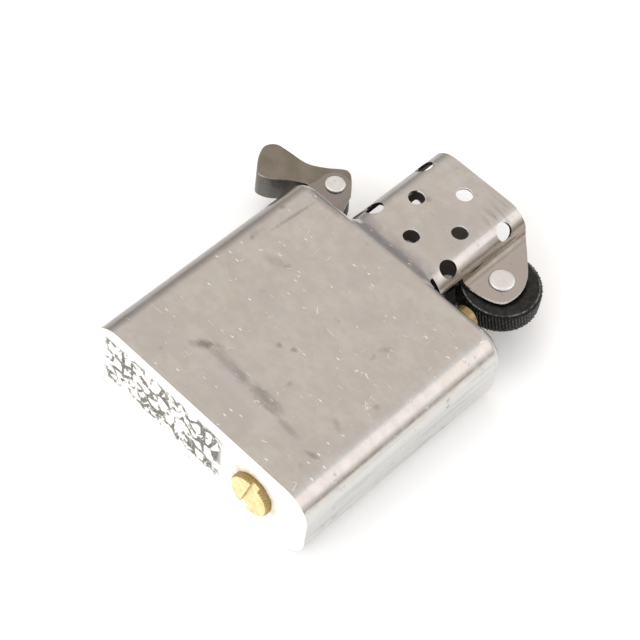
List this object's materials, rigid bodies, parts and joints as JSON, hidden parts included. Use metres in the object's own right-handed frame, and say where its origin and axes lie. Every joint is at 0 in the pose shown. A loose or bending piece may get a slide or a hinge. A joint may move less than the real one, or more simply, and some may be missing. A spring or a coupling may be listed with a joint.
{
  "type": "lighter insert",
  "caption": "Inside unit of a windproof flip-top petrol lighter, lying on its back: steel case, perforated chimney, flint wheel, cam lever, felt pad and slotted brass flint screw.",
  "frame": {"origin": "centre of the flat back face of the case, which the object lies on", "axes": "+X across the case towards the flint wheel, +Y from the felt at the bottom to the mouth of the chimney, +Z out of the front face"},
  "size_m": [0.0438, 0.0527, 0.0118],
  "materials": {
    "worn_steel": "drawn sheet, worn, stained and lightly scratched",
    "dark_steel": "folded sheet with a dark brown heat tint",
    "blackened_steel": "blackened, with file-cut teeth",
    "bright_steel": "bright rivet heads",
    "spring_steel": "plain spring steel",
    "brass": "turned brass, worn bright on the faces",
    "flint_alloy": "matt grey",
    "felt": "pressed white wool felt, slightly stained",
    "cotton": "loose cotton wadding",
    "wick_yarn": "woven cotton with fine wire, charred at the tip"
  },
  "bodies": {
    "case": {"insert_case": "worn_steel", "wick_plate": "worn_steel", "flint_tube": "brass", "wheel_rivet": "bright_steel", "cam_rivet": "bright_steel", "cam_spring": "spring_steel", "wick": "wick_yarn", "cotton_ball_1": "cotton", "cotton_ball_2": "cotton", "cotton_ball_3": "cotton", "cotton_ball_4": "cotton", "cotton_ball_5": "cotton", "cotton_ball_6": "cotton", "felt_pad": "felt"},
    "wheel": {"flint_wheel": "blackened_steel"},
    "cam_lever": {"cam": "dark_steel"},
    "flint_feed": {"flint_spring": "spring_steel", "spring_tip": "brass", "flint": "flint_alloy"},
    "screw": {"flint_screw": "brass"},
    "flap": {"felt_flap": "felt"}
  },
  "joints": [
    {"name": "wheel_spin", "type": "hinge", "parent": "case", "child": "wheel", "pos_m": [0.0097, 0.0263, 0.0059], "axis": [0, 0, 1], "continuous": true},
    {"name": "cam_swing", "type": "hinge", "parent": "case", "child": "cam_lever", "pos_m": [-0.0148, 0.02115, 0.0059], "axis": [0, 0, 1], "range_deg": [-108, 0]},
    {"name": "screw_travel", "type": "slide", "parent": "case", "child": "flint_feed", "axis": [0, -1, 0], "range_m": [0, 0.0035]},
    {"name": "screw_turn", "type": "hinge", "parent": "flint_feed", "child": "screw", "pos_m": [0.0097, -0.0172, 0.0059], "axis": [0, -1, 0], "range_deg": [0, 2520]},
    {"name": "flap_lift", "type": "hinge", "parent": "case", "child": "flap", "pos_m": [0.0035, -0.0171, 0.0059], "axis": [0, 0, 1], "range_deg": [0, 70], "stiffness_Nm_per_rad": 0.0005}
  ],
  "couplings": [
    {"joint": "screw_turn", "follows": "screw_travel", "rad_per_m": 12566}
  ]
}
